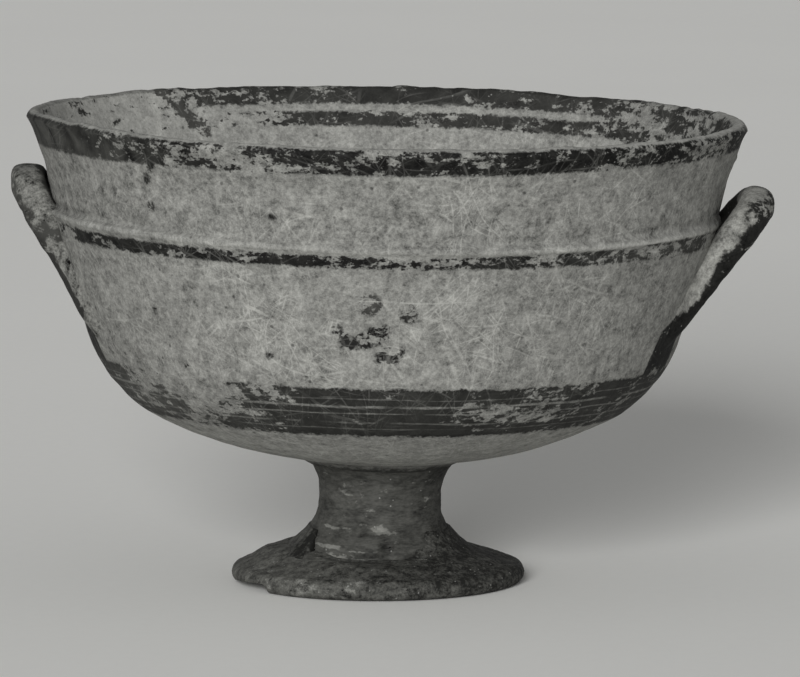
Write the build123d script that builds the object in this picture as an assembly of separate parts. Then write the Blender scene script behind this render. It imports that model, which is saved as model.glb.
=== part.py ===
from build123d import *
from math import sqrt
import os

# A stemmed two-handled clay cup, as the pieces that a potter made and joined.
#
# Millimetres, +Z up. The origin is the centre of the foot's resting plane, and the handles point
# to -X and +X. The foot stands level. The bowl leans a little towards +X on it, as hand-made cups
# do, and every piece above the foot shares that leaning axis.

# Lean of the bowl, stem and handles towards +X, in degrees
BOWL_LEAN = 1.1

# Foot
FOOT_RADIUS = 40.7
FOOT_REST_RADIUS = 39.5
FOOT_EDGE_TOP_RADIUS = 38.0
FOOT_EDGE_HEIGHT = 5.2
FOOT_HOLLOW_RADIUS = 29.0
FOOT_HOLLOW_DEPTH = 4.6
FOOT_SEAT_HEIGHT = 9.6
FOOT_SEAT_RADIUS = 25.8

# Chip out of the foot's lower edge
CHIP_AZIMUTH = 203.0
CHIP_DEPTH = 2.4
CHIP_HEIGHT = 2.6

# Stem: a short straight plinth, then a waisted spool
STEM_BASE_RADIUS = 21.5
STEM_PLINTH_HEIGHT = 3.4
STEM_WAIST_RADIUS = 16.7
STEM_WAIST_HEIGHT = 23.6
STEM_TOP_RADIUS = 21.5

# Cuff of clay round the stem's base, bulging by a part of its spread and rise, with a piece broken out
COLLAR_SPREAD = 6.0
COLLAR_RISE = 3.2
COLLAR_BULGE = 0.25
COLLAR_BREAK_AZIMUTH = 258.0
COLLAR_BREAK_WIDTH = 32.0

# Ring of clay in the corner between stem and bowl, and its slope where it leaves the stem
STEM_LUTE_SPREAD = 6.0
STEM_LUTE_DROP = 4.0
STEM_LUTE_SLOPE = 0.35

# Bowl, with heights along the leaning axis
BOWL_SEAT_HEIGHT = 35.1
BOWL_SEAT_MARGIN = 1.5
HAUNCH_RADIUS = 63.6
HAUNCH_HEIGHT = 47.3
SHOULDER_RADIUS = 82.25
SHOULDER_HEIGHT = 69.4
OFFSET_RADIUS = 92.7
OFFSET_HEIGHT = 101.5
RIDGE_WIDTH = 2.6
RIDGE_PROUD = 0.9
NECK_RADIUS = 92.5
FLARE_SAG = 1.3
RIM_RADIUS = 99.75
RIM_HEIGHT = 127.3
LIP_ROUND = 1.9
WALL = 4.5
FLOOR = 5.5

# Handles: the bar's crown off the wall and above the offset, and its roots above the shoulder
LEFT_BAR_RADIUS = 4.6
LEFT_STANDOFF = 0.7
LEFT_RISE = 8.4
LEFT_ROOT_RISE = 9.3
RIGHT_BAR_RADIUS = 4.9
RIGHT_STANDOFF = 4.7
RIGHT_RISE = 6.0
RIGHT_ROOT_RISE = 9.3
CROWN_WIDTH = 32.0
ROOT_SPACING = 45.0
ROOT_SINK = 2.3

# Clay worked round each handle root
LUTE_WIDTH = 2.0
LUTE_RISE = 1.8

LEANING = Rot(0, BOWL_LEAN, 0)
STAND_UP = (Align.CENTER, Align.CENTER, Align.MIN)
LEFT, RIGHT = -1, 1
FRONT, BACK = -1, 1


def turned(*edges):
    """Solid turned about the Z axis, from edges drawn as (radius, height)."""
    return revolve(Plane.XZ * make_face(Curve() + list(edges)), Axis.Z)


def square_left(way):
    """The direction a quarter turn to the left of another, which points out of the bowl's wall."""
    return Vector(-way.Y, way.X)


def lower_side(skin, seat_height):
    """Edges from the bowl's flat seat up to its offset, moved outwards by a skin."""
    seat = Vector(STEM_TOP_RADIUS + BOWL_SEAT_MARGIN, seat_height)
    haunch = Vector(HAUNCH_RADIUS, HAUNCH_HEIGHT)
    shoulder = Vector(SHOULDER_RADIUS, SHOULDER_HEIGHT)
    offset = Vector(OFFSET_RADIUS, OFFSET_HEIGHT)
    wall_way = (shoulder - offset).normalized()
    haunch_way = TangentArc(shoulder, haunch, tangent=wall_way) % 1
    haunch += square_left(haunch_way) * skin
    shoulder += square_left(wall_way) * skin
    offset += square_left(wall_way) * skin
    return offset, [
        Line((0, seat_height), seat),
        TangentArc(haunch, seat, tangent=haunch_way),
        TangentArc(shoulder, haunch, tangent=wall_way),
        Line(shoulder, offset),
    ]


def outer_side(skin=0.0):
    """Edges of the bowl's outside from the axis to the rim's edge, moved outwards by a skin."""
    offset, edges = lower_side(skin, BOWL_SEAT_HEIGHT - skin)
    ridge = (OFFSET_RADIUS + RIDGE_PROUD + skin, OFFSET_HEIGHT + RIDGE_WIDTH / 2)
    neck = (NECK_RADIUS + skin, OFFSET_HEIGHT + RIDGE_WIDTH)
    rim = (RIM_RADIUS + skin, RIM_HEIGHT)
    return rim, edges + [ThreePointArc(offset, ridge, neck), SagittaArc(neck, rim, FLARE_SAG)]


def make_bowl():
    """Thrown bowl with an offset ridge outside, a flaring upper wall and a rounded lip."""
    rim, outside = outer_side()
    floor_height = BOWL_SEAT_HEIGHT + FLOOR
    offset_inside, inside = lower_side(-WALL, floor_height)
    rim_inside = (RIM_RADIUS - WALL, RIM_HEIGHT)
    lip_top = (RIM_RADIUS - WALL / 2, RIM_HEIGHT + LIP_ROUND)
    return LEANING * turned(
        *outside,
        ThreePointArc(rim, lip_top, rim_inside),
        SagittaArc(offset_inside, rim_inside, FLARE_SAG),
        *inside,
        Line((0, floor_height), (0, BOWL_SEAT_HEIGHT)),
    )


def filled_bowl(skin=0.0):
    """The bowl's outside as one filled solid, grown by a skin, for trimming what leans on it."""
    rim, outside = outer_side(skin)
    return LEANING * turned(
        *outside,
        Line(rim, (0, RIM_HEIGHT)),
        Line((0, RIM_HEIGHT), (0, BOWL_SEAT_HEIGHT - skin)),
    )


def make_foot():
    """Disc with a rounded edge and a shallow hollow below. Its seat is cut square to the stem."""
    rest = (FOOT_REST_RADIUS, 0)
    edge_top = (FOOT_EDGE_TOP_RADIUS, FOOT_EDGE_HEIGHT)
    slope = (FOOT_SEAT_HEIGHT - FOOT_EDGE_HEIGHT) / (FOOT_EDGE_TOP_RADIUS - FOOT_SEAT_RADIUS)
    peak = (STEM_BASE_RADIUS, FOOT_SEAT_HEIGHT + slope * (FOOT_SEAT_RADIUS - STEM_BASE_RADIUS))
    disc = turned(
        TangentArc((0, FOOT_HOLLOW_DEPTH), (FOOT_HOLLOW_RADIUS, 0), tangent=(1, 0)),
        Line((FOOT_HOLLOW_RADIUS, 0), rest),
        ThreePointArc(rest, (FOOT_RADIUS, FOOT_EDGE_HEIGHT / 2), edge_top),
        Line(edge_top, peak),
        Line(peak, (0, peak[1])),
        Line((0, peak[1]), (0, FOOT_HOLLOW_DEPTH)),
    )
    above_seat = Cylinder(FOOT_RADIUS, FOOT_SEAT_HEIGHT, align=STAND_UP)
    chip_side = (Align.MIN, Align.CENTER, Align.CENTER)
    chip = Box(FOOT_RADIUS, 2 * FOOT_RADIUS, 2 * CHIP_HEIGHT, align=chip_side)
    disc -= LEANING * Pos(0, 0, FOOT_SEAT_HEIGHT) * above_seat
    return disc - Rot(0, 0, CHIP_AZIMUTH) * Pos(FOOT_RADIUS - CHIP_DEPTH, 0, 0) * chip


def make_stem():
    """Waisted spool that stands on the foot's seat and carries the bowl's seat."""
    base = (STEM_BASE_RADIUS, FOOT_SEAT_HEIGHT)
    plinth = (STEM_BASE_RADIUS, FOOT_SEAT_HEIGHT + STEM_PLINTH_HEIGHT)
    waist = (STEM_WAIST_RADIUS, STEM_WAIST_HEIGHT)
    top = (STEM_TOP_RADIUS, BOWL_SEAT_HEIGHT)
    return LEANING * turned(
        Line((0, FOOT_SEAT_HEIGHT), base),
        Line(base, plinth),
        ThreePointArc(plinth, waist, top),
        Line(top, (0, BOWL_SEAT_HEIGHT)),
        Line((0, BOWL_SEAT_HEIGHT), (0, FOOT_SEAT_HEIGHT)),
    )


def make_foot_collar(stem, foot):
    """Cuff of clay that hugs the stem's base and lies on the foot, with a piece broken out."""
    outer = STEM_BASE_RADIUS + COLLAR_SPREAD
    top = FOOT_SEAT_HEIGHT + COLLAR_RISE
    bulge = (outer - COLLAR_BULGE * COLLAR_SPREAD, FOOT_SEAT_HEIGHT + COLLAR_BULGE * COLLAR_RISE)
    cuff = LEANING * turned(
        Line((0, FOOT_EDGE_HEIGHT), (outer, FOOT_EDGE_HEIGHT)),
        ThreePointArc((outer, FOOT_EDGE_HEIGHT), bulge, (STEM_BASE_RADIUS, top)),
        Line((STEM_BASE_RADIUS, top), (0, top)),
        Line((0, top), (0, FOOT_EDGE_HEIGHT)),
    )
    break_side = (Align.MIN, Align.CENTER, Align.MIN)
    broken = Box(FOOT_RADIUS, COLLAR_BREAK_WIDTH, BOWL_SEAT_HEIGHT, align=break_side)
    return cuff - stem - foot - Rot(0, 0, COLLAR_BREAK_AZIMUTH) * broken


def make_stem_lute(stem, bowl_form):
    """Ring of clay worked into the corner between the stem and the bowl."""
    low = (STEM_WAIST_RADIUS, BOWL_SEAT_HEIGHT - STEM_LUTE_DROP)
    high = (STEM_WAIST_RADIUS, BOWL_SEAT_HEIGHT + STEM_LUTE_DROP)
    outer = (STEM_TOP_RADIUS + STEM_LUTE_SPREAD, BOWL_SEAT_HEIGHT + STEM_LUTE_DROP)
    ring = LEANING * turned(
        TangentArc(low, outer, tangent=(1, STEM_LUTE_SLOPE)),
        Line(outer, high),
        Line(high, low),
    )
    return ring - stem - bowl_form


def handle_lines(side, bar_radius, standoff, rise, root_rise):
    """Middle lines of a handle: the crown's half ring, and legs that spread from it to the wall."""
    lower_wall = Line((SHOULDER_RADIUS, SHOULDER_HEIGHT), (OFFSET_RADIUS, OFFSET_HEIGHT))
    upper_wall = SagittaArc((NECK_RADIUS, OFFSET_HEIGHT), (RIM_RADIUS, RIM_HEIGHT), FLARE_SAG)
    root_wall = lower_wall @ (root_rise / (OFFSET_HEIGHT - SHOULDER_HEIGHT))
    crown_wall = upper_wall @ (rise / (RIM_HEIGHT - OFFSET_HEIGHT))
    root_out = sqrt(root_wall.X**2 - (ROOT_SPACING / 2) ** 2) - ROOT_SINK
    crown_out = crown_wall.X + standoff + bar_radius
    crown_height = OFFSET_HEIGHT + rise
    run = Vector(crown_out - root_out, crown_height - SHOULDER_HEIGHT - root_rise)
    plane = Plane(
        origin=(side * crown_out, 0, crown_height),
        x_dir=(0, 1, 0),
        z_dir=(run.Y, 0, -side * run.X),
    )
    half = CROWN_WIDTH / 2
    ring = plane * ThreePointArc((-half, -half), (0, 0), (half, -half))
    legs = {}
    for leg in (FRONT, BACK):
        root = (leg * ROOT_SPACING / 2, -run.length)
        legs[leg] = plane * TangentArc((leg * half, -half), root, tangent=(0, -1))
    return ring, legs


def rolled(line, radius):
    """Round bar that follows a line."""
    return sweep(Plane(origin=line @ 0, z_dir=line % 0) * Circle(radius), path=line)


def make_handle(ring, legs, bar_radius, bowl_form):
    """Rolled bar bent to a U, its two rounded ends pressed against the wall."""
    bar = rolled(Wire([legs[FRONT].edge(), ring.edge(), legs[BACK].edge()]), bar_radius)
    for leg in legs.values():
        bar += Pos(leg @ 1) * Sphere(bar_radius)
    return LEANING * bar - bowl_form


def make_lute(leg, bar_radius, handle, bowl_skin):
    """Clay worked round one root of a handle, as deep as the skin that it fills on the wall."""
    radius = bar_radius + LUTE_WIDTH
    sleeve = rolled(leg, radius) + Pos(leg @ 1) * Sphere(radius)
    return (bowl_skin & LEANING * sleeve) - handle


def main():
    bowl_form = filled_bowl()
    bowl_skin = filled_bowl(LUTE_RISE) - bowl_form
    foot = make_foot()
    stem = make_stem()
    pieces = {
        "bowl": make_bowl(),
        "stem": stem,
        "foot": foot,
        "stem_lute": make_stem_lute(stem, bowl_form),
        "foot_collar": make_foot_collar(stem, foot),
    }
    for name, side, bar_radius, standoff, rise, root_rise in (
        ("left", LEFT, LEFT_BAR_RADIUS, LEFT_STANDOFF, LEFT_RISE, LEFT_ROOT_RISE),
        ("right", RIGHT, RIGHT_BAR_RADIUS, RIGHT_STANDOFF, RIGHT_RISE, RIGHT_ROOT_RISE),
    ):
        ring, legs = handle_lines(side, bar_radius, standoff, rise, root_rise)
        handle = make_handle(ring, legs, bar_radius, bowl_form)
        pieces[f"handle_{name}"] = handle
        for place, leg in (("front", FRONT), ("back", BACK)):
            pieces[f"{name}_handle_{place}_lute"] = make_lute(legs[leg], bar_radius, handle, bowl_skin)
    os.makedirs("parts", exist_ok=True)
    for node, solid in pieces.items():
        export_step(solid, f"parts/{node}.step")
        print(f"{node}: {len(solid.solids())} solid, {solid.volume / 1000:.2f} cm3")


main()
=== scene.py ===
import math

import bpy
import numpy as np
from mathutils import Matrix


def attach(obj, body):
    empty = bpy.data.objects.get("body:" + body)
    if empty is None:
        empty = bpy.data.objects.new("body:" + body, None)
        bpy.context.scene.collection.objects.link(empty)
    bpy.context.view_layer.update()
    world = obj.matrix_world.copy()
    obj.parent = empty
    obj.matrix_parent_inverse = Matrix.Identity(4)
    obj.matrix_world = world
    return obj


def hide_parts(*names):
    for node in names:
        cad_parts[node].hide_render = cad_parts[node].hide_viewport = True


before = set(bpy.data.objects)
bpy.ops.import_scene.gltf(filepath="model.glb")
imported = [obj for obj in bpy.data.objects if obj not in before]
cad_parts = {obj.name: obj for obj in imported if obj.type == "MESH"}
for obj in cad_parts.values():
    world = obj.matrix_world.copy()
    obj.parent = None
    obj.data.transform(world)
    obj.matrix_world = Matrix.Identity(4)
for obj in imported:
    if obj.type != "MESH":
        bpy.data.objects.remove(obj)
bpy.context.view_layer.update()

# Shapes are worked out in millimetres on the bowl's own axis, which leans towards +X.
# Azimuths are in degrees: -90 is the front, 0 the right handle and 180 the left handle.
# Stops are rows of (azimuth, value), run straight between and all the way round.
# Soft spots are rows of an amount, a middle and a spread, the last two as (azimuth, height).
LEAN = math.radians(1.1)

# Outline of the bowl as (radius, height)
SEAT, FLOOR_HEIGHT = (23.0, 35.1), 40.6
HAUNCH, SHOULDER, OFFSET = (63.6, 47.3), (82.25, 69.4), (92.7, 101.5)
RIDGE, NECK, RIM = (93.9, 102.9), (92.5, 104.3), (99.75, 127.3)
FLARE_SAG, LIP_ROUND, WALL = 1.3, 1.9, 4.5
BOWL_AROUND = 448

# Length of outline past the rim at which the outside turns to the inside
LIP_TOP = 3.2

# Height above and below the ridge over which it is rounded off, and how far it sinks across the front
RIDGE_REACH = 5
RIDGE_DROP = ((0.9, (-75, RIDGE[1]), (50, 3)),)

# Stops of the rim's rise above its outline
RIM_RISE = (
    (-180, 0.8), (-162, 1.7), (-147, 1.7), (-125, 0.6), (-40, 0.7), (-15, 1.2), (5, 0.6), (30, 0), (150, 0),
)

# Radius from which the bowl's skin is uneven, and where it is so in full
UNEVEN_FROM, UNEVEN_FULL = 24, 34

# Swells and hollows of the bowl's outside
BOWL_SWELLS = (
    (-0.8, (184, 105.0), (44, 0.8)),
    (-1.0, (-2, 103), (20, 1.6)),
    (0.6, (0, 116), (40, 9)),
    (0.7, (184, 47), (40, 7)),
    (0.4, (-3, 119.9), (1.0, 1.0)),
)

# Outlines of the stem and the foot, which stop short of the axis
STEM_BASE, PLINTH, WAIST, STEM_TOP = (21.5, 6.0), (21.5, 12.4), (16.7, 23.6), (21.5, 35.1)
FOOT_HOLLOW, FOOT_HOLLOW_SAG = (29.0, 4.6), 2.2
FOOT_REST, FOOT_BULGE, FOOT_EDGE, FOOT_SEAT = (39.5, 0.0), (40.7, 2.6), (38.0, 5.2), (25.8, 9.6)
AXIS_GAP, STEM_AROUND, FOOT_AROUND = 2.0, 224, 320

# Hollow broken into the stem's front
STEM_HOLLOW = ((-2.0, (-83.5, 12.0), (5, 2.8)),)

# Nick in the foot's edge, which ends in a step: stops of how far its underside is lifted, and the radii
# between which the lift comes in
CHIP_STEP, CHIP_RADII = -139.5, (34.0, 35.5)
FOOT_LIFT = (
    (180, 0), (-170, 0.9), (-158, 1.6), (-144, 2.3), (CHIP_STEP - 1.6, 2.3), (CHIP_STEP, 0), (0, 0),
)

# Heights over which the foot's skin turns uneven and its top begins
FOOT_UNEVEN, FOOT_TOP = (0, 2.5), (4.4, 5.9)

# Swell and hollow of the foot's top, with a radius in place of the height
FOOT_SWELLS = ((1.2, (180, 31), (18, 5)), (-1.7, (-100, 24), (38, 4.5)))

# Cuff of clay round the stem's base, which is broken away across the front
CUFF_FROM, CUFF_TO, CUFF_COLUMNS = -62.0, 218.0, 210
CUFF_LOW, CUFF_HIGH, CUFF_SAG, CUFF_ROOT = (28.2, 8.0), (19.6, 15.4), 0.5, 17.0
CUFF_GIRTH = ((CUFF_FROM, 0.91), (CUFF_FROM + 24, 1.0), (190, 1.0), (208, 1.05), (CUFF_TO, 1.04))

# Slant of the cuff's left end: degrees per millimetre from a radius, coming in over a stretch in degrees
CUFF_SLANT, CUFF_SLANT_RADIUS, CUFF_SLANT_STRETCH = 1.5, 24, 20

# Ring of clay between the stem and the bowl, and the direction in which its outline starts
LUTE_LOW, LUTE_HIGH, LUTE_ROOT = (17.4, 31.6), (27.6, 36.6), (16.0, 37.6)
LUTE_WAY, LUTE_AROUND = (1, 0.5), 192

# Handles: side, bar radius, crown off the wall, crown above the offset, roots above the shoulder
LEFT_HANDLE = (-1, 4.6, 0.7, 8.2, 9.3)
RIGHT_HANDLE = (1, 4.9, 4.7, 5.4, 9.3)

# How far each crown is squared off from a round bar
LEFT_BOXY, RIGHT_BOXY = 1.8, 0.5

# Half widths of a handle, how deep its roots sit in the wall and how far the bar runs on past them
CROWN_HALF, ROOT_HALF, ROOT_SINK, ROOT_REACH = 16.0, 22.5, 2.3, 11.0

# Rings of half a bar past its root, on its leg and round its crown, and the points in a ring
REACH_RINGS, LEG_RINGS, CROWN_RINGS, BAR_AROUND = 17, 43, 46, 44

# Deepest place of a bar's skin below the wall's surface
BAR_SINK = 1.4

# Clay worked round a root: height off the wall, width and depth, the bar's rings that it takes and fades
# over, and its thickness
HANDLE_LUTE_RISE, HANDLE_LUTE_WIDTH, HANDLE_LUTE_DEPTH = 4.0, 2.4, 2.2
HANDLE_LUTE_RINGS, HANDLE_LUTE_FADE = 50, 14
HANDLE_LUTE_THICKNESS_M = 0.0007

# Painted bands and lines on the bowl, as heights or as stops of the height
RIM_BAND_LOW = (
    (-180, 120.4), (-150, 120.6), (-125, 121.8), (-105, 122.0),
    (-70, 122.3), (-45, 123.2), (-20, 123.0), (90, 122.2),
)
OFFSET_LINE_LOW = 97.2
OFFSET_LINE_HIGH = ((-180, 100.9), (-80, 100.9), (-55, 101.6), (-32, 102.1), (-8, 101.6), (20, 100.9))
LOWER_BAND = (49.0, 63.3)
INNER_BAND_LOW = 124.3
INNER_LINE = (118.2, 122.2)

# Length of outline past the rim over which the rim's paint runs, and stops of where the inner paint begins
RIM_BAND_OVER = 1.6
INNER_LIP = ((-180, 5.2), (-90, 5.2), (-40, 6.4), (-5, 6.0), (35, 2.4), (60, 1.4), (125, 1.4), (150, 5.2))

# Painted field inside on the right: heights, middle azimuth, half turn and taper past it
FIELD_HEIGHTS, FIELD_MIDDLE, FIELD_HALF, FIELD_TAPER = (117.0, 129.0), 8, 34, 0.8

# Slanting streak inside on the left: middle, degrees per millimetre, half length and half width
STREAK_MIDDLE, STREAK_SLANT, STREAK_HALF_LENGTH, STREAK_HALF_WIDTH = (128.0, 122.0), 0.62, 4.0, 2.6

# Gaps between the brush strokes of the lower band: height, half width, strength
LOWER_BAND_GAPS = (
    (60.3, 0.15, 0.36),
    (58.2, 0.32, 0.62),
    (56.0, 0.18, 0.52),
    (53.1, 0.2, 0.4),
    (51.3, 0.15, 0.32),
)

# Stripes down from the handles' roots: azimuth at a middle height, drift in degrees per millimetre and half
# width; and that middle height and their ends
STRIPES = ((-20.0, 0.1, 9.2), (20.0, -0.1, 9.2), (-167.0, -0.15, 6.2), (167.0, 0.15, 6.2))
STRIPES_MIDDLE, STRIPES_LOW, STRIPES_HIGH = 70, 52.0, 75.0

# Worn blotches and specks of paint on the outside: azimuth, height, radius
BLOTCHES = (
    (-92.2, 87.2, 3.2), (-85.5, 84.4, 2.6), (-98.0, 79.7, 1.4),
    (-97.0, 77.4, 1.8), (-96.5, 74.9, 1.8), (-94.5, 77.0, 1.9),
    (-92.8, 76.0, 1.7), (-91.5, 78.6, 2.3), (-90.2, 77.3, 1.9),
    (-89.8, 79.8, 1.9), (-91.0, 71.9, 1.4), (-89.2, 72.8, 2.3),
    (-87.8, 71.9, 1.5), (-87.2, 74.1, 1.8), (-130.5, 121.4, 1.6),
    (-132.2, 117.7, 1.4), (-132.2, 110.1, 1.1), (-109.0, 110.0, 0.9),
    (-135.5, 81.5, 1.0), (-111.2, 71.9, 1.0), (-130.5, 66.0, 1.0),
)

# Wear of the bowl's paint outside: a base and soft spots
BOWL_WEAR_BASE = 0.2
BOWL_WEAR = (
    (0.38, (-116, 125), (14, 5)),
    (0.12, (-35, 125), (25, 6)),
    (-0.14, (-165, 123), (28, 9)),
    (0.12, (-60, 125), (60, 6)),
    (0.32, (-92, 101.0), (27, 1.4)),
    (0.02, (-92, 98.0), (30, 1.3)),
    (0.36, (-46, 99), (20, 4)),
    (0.7, (-174, 99), (12, 5)),
    (0.45, (-12, 100), (9, 3)),
    (0.3, (-85.5, 84.4), (3, 4)),
    (-0.03, (-92.2, 87.2), (3, 4)),
    (0.3, (-91, 76), (8, 7)),
    (-0.3, (-164, 69), (8, 10)),
    (0.6, (-128, 62.5), (17, 4.2)),
    (0.3, (-145, 61.8), (12, 2.4)),
    (0.42, (-132, 56), (16, 6)),
    (0.5, (-66, 55.5), (7, 3.2)),
    (0.45, (-52, 53.5), (6, 2.6)),
    (-0.16, (-92, 56), (24, 9)),
)

# Wear of the bowl's paint inside: stops, a soft spot and the streak's own wear
INNER_WEAR = (
    (-90, 0.6), (-45, 0.56), (0, 0.5), (38, 0.46), (55, 0.3),
    (95, 0.25), (118, 0.3), (128, 0.4), (134, 0.7), (180, 0.66),
)
INNER_WEAR_SPOTS = ((0.3, (125, 120), (22, 2.4)),)
STREAK_WEAR = 0.26

# Lightness of the bowl's bare clay: soft spots outside, among them painted highlight, shade and shadow, stops
# for the lip and the inside, and stops of the height of the painted highlight along the ridge
CLAY_LIGHT = (
    (0.08, (-96, 76), (26, 14)),
    (-0.08, (-48, 82), (22, 14)),
    # Painted highlight on the ridge to the right of the front
    (0.35, (-38, 102.8), (22, 0.8)),
    (-0.1, (-150, 112), (22, 9)),
    # Painted shade in the groove above the ridge towards the left handle
    (-0.35, (-168, 104.9), (16, 0.8)),
    # Dark patch on the wall by the right handle's roots: part paint, part painted shadow of the handle
    (-0.6, (-8, 105.5), (8, 4.5)),
)
# Stops of the lip top's lightness: its clay is worn light all round, and from the front to the right handle
# it is raised further as painted light on a top that lies in shade
LIP_LIGHT = ((-180, 1), (-75, 1), (-45, 2.2), (-5, 2.2), (25, 1), (60, 0.1), (120, 0.1))
INSIDE_LIGHT = ((-90, 0.1), (60, 0.16), (110, 0.22), (135, 0.7), (180, 0.85))
RIDGE_HIGHLIGHT_HEIGHT = (
    (-180, 103.2), (-135, 103.0), (-100, 101.9), (-70, 102.0), (-35, 102.8), (0, 102.8), (90, 103.2),
)

# Density of the bowl's scratches: a base and soft spots
SCRATCHED_BASE = 0.5
SCRATCHED = (
    (0.6, (-62, 112), (26, 9)),
    (0.7, (-104, 84), (20, 16)),
    (0.5, (-66, 80), (24, 12)),
    (0.5, (-68, 55), (10, 5)),
    (-0.4, (-25, 56), (24, 9)),
    (-0.35, (-20, 69), (8, 8)),
)

# How light the bowl's paint is, lighter where it is laid on thinly: soft spots outside, the strength of its
# mottle, and values for the lower band, the inside and the streak; on other pieces this lightness also holds
# painted light and shade
THIN_PAINT = (
    (3.0, (-162, 123), (30, 8)),
    (3.0, (-148, 56), (18, 9)),
    (4.6, (-92.2, 87.2), (2.2, 4)),
    (2, (-85.5, 84.4), (2, 3)),
    (3.0, (-34, 99), (24, 3.2)),
    (-0.5, (-20, 69), (9, 9)),
)
THIN_MOTTLE_BASE, THIN_MOTTLE = 0.6, ((2.4, (-160, 124), (32, 8)),)
THIN_LOWER_BAND, THIN_INSIDE, THIN_STREAK = 1.6, 1.9, 3

# Distance inside the paint where a piece is painted all over
PAINTED_OVER = 4.0

# Wear of the stem's paint: a base, soft spots, and streaks that also slope in millimetres per degree
STEM_WEAR_BASE = 0.12
STEM_WEAR = (
    (0.4, (-101.5, 21.2), (7, 1.6)),
    (0.35, (-87, 16.8), (8, 1.6)),
    (0.9, (-130, 11.4), (12, 0.5)),
    (0.6, (-106, 10.6), (11, 0.4)),
    (0.9, (-132, 8.1), (18, 0.7)),
    (0.6, (-78, 8.1), (30, 0.5)),
    (0.3, (-130, 10.0), (15, 1.6)),
)
STEM_STREAKS = ((0.75, (-136, 16.3), (17, 0.6), 0.05), (0.4, (-116, 25.6), (15, 0.7), 0.04))

# How light the stem's paint is: stops that run lighter on the left and darker on the right, partly its own
# wear and partly painted light and shade from the key light's side, and soft spots of painted shade
STEM_TONE = ((-180, 0.5), (-95, 0.4), (-50, 0.15), (0, 0.0))
# Painted shade beside the cuff's broken end, in the hollow broken into the front and in a narrow groove low
# on the front
STEM_SHADE = (
    (-1.2, (-158, 11), (7, 5)),
    (-0.9, (-83.5, 12), (5, 3)),
    (-0.8, (-97, 9.5), (7, 0.7)),
)

# Wear of the foot's paint, and how light the paint of the foot and the cuff is
FOOT_WEAR_BASE = 0.1
FOOT_WEAR = (
    (0.45, (-79, 3.0), (7, 2.2)),
    (0.35, (-100, 3.2), (6, 2.0)),
    (0.3, (-121, 3.0), (13, 2.0)),
    (0.15, (-155, 4.0), (30, 4)),
)
# Stops of how light the foot's paint is: lighter on the left and darker on the right, partly its own grainy
# wear and partly painted light and shade from the key light's side
FOOT_TONE = ((-180, 1.1), (-120, 0.7), (-80, 0.3), (-50, -0.3), (0, -0.4), (90, 0))
# Stops of how light the cuff's paint is: lighter on the left as painted light from the key light's side,
# painted shade on its broken end, and darker towards the right front
CUFF_TONE = (
    (-180, 0.45), (-150.5, 0.4), (-147, -0.7), (-142.2, -0.9), (-62, 0.0), (-30, -0.4), (90, 0),
)

# Height at which the paint on the ring between stem and bowl ends
LUTE_PAINT_TOP = 33.8

# Heights between which a handle's paint turns to that of its crown, and to the wall's stripes at its roots
CROWN_LOW, CROWN_HIGH = 98, 106
LEFT_ROOT, RIGHT_ROOT = (77, 73), (74.5, 71)

# Edge of the right handle's paint, as rows of a height and the cosine of the turn from its outer side
RIGHT_BARE = (
    (74, 0.1), (78, 0.28), (82, 0.3), (88, 0.3), (92, 0.2), (96, 0.1), (101, 0.0), (107, -0.15),
)

# Colours of bare clay, paint, light flecks and the floor's paper
BOWL_CLAY, HANDLE_CLAY, FOOT_CLAY = (0.193, 0.193, 0.1803), (0.19, 0.19, 0.176), (0.115, 0.115, 0.106)
BOWL_PAINT, FOOT_PAINT = (0.0095, 0.0095, 0.0087), (0.041, 0.041, 0.0374)
FLECK = (0.3, 0.3, 0.285, 1.0)
PAPER = (0.9, 0.9, 0.872)

# Sizes of the patterns on the clay, and how far those drawn out along the level are squeezed
BROAD_SIZE, PATCH_SIZE, FINE_SIZE, RILL_SIZE, SMUDGE_SIZE = 26.0, 6.5, 1.8, 2.2, 2.6
SMALL_FLAKE, LARGE_FLAKE = 1.7, 6.0
RILL_SQUEEZE, FLAKE_SQUEEZE, SMUDGE_SQUEEZE = 0.05, 0.42, 0.6

# Pits and light flecks: size of their cells, reach as a share of it, and share of cells with a pit
PIT_CELL, PIT_REACH, PIT_SHARE = 3.4, 0.2, 0.14
FLECK_CELL, FLECK_REACH = 2.0, 0.16

# The clay's grains from the finest: size and share of the clay's lightness
GRAINS = ((0.4, 0.85), (0.9, 1.05), (2.0, 1.0), (4.4, 0.9))

# Tilt in degrees, width and length of each set of fine scratches on the bowl
SCRATCHES = (
    (4, 0.9, 26), (24, 0.7, 14), (47, 0.85, 22), (66, 0.7, 12),
    (88, 0.7, 10), (118, 0.85, 23), (141, 0.7, 16), (165, 0.8, 18),
)

# Floor, camera and the camera's far limit in metres, and its sensor and lens in millimetres
FLOOR_SIZE, FLOOR_PLACE = 9, (0, 1.5, -0.0003)
CAMERA_PLACE, CAMERA_AIM_HEIGHT, CLIP_END = (0.0061, -2.1, 0.3238), 0.0675, 20
SENSOR, LENS = 36, 342.7

# Key light: strength, and its width, height and turn to the left in degrees
KEY_STRENGTH, KEY_WIDTH, KEY_HEIGHT, KEY_TURN = 2.85, 20, 16, 11

# Surround: level low down, change of level overhead, and the rise over which it changes
SKY_LEVEL, SKY_CHANGE, SKY_RISE = 0.47, -0.23, (0.3, 0.8)


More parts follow.
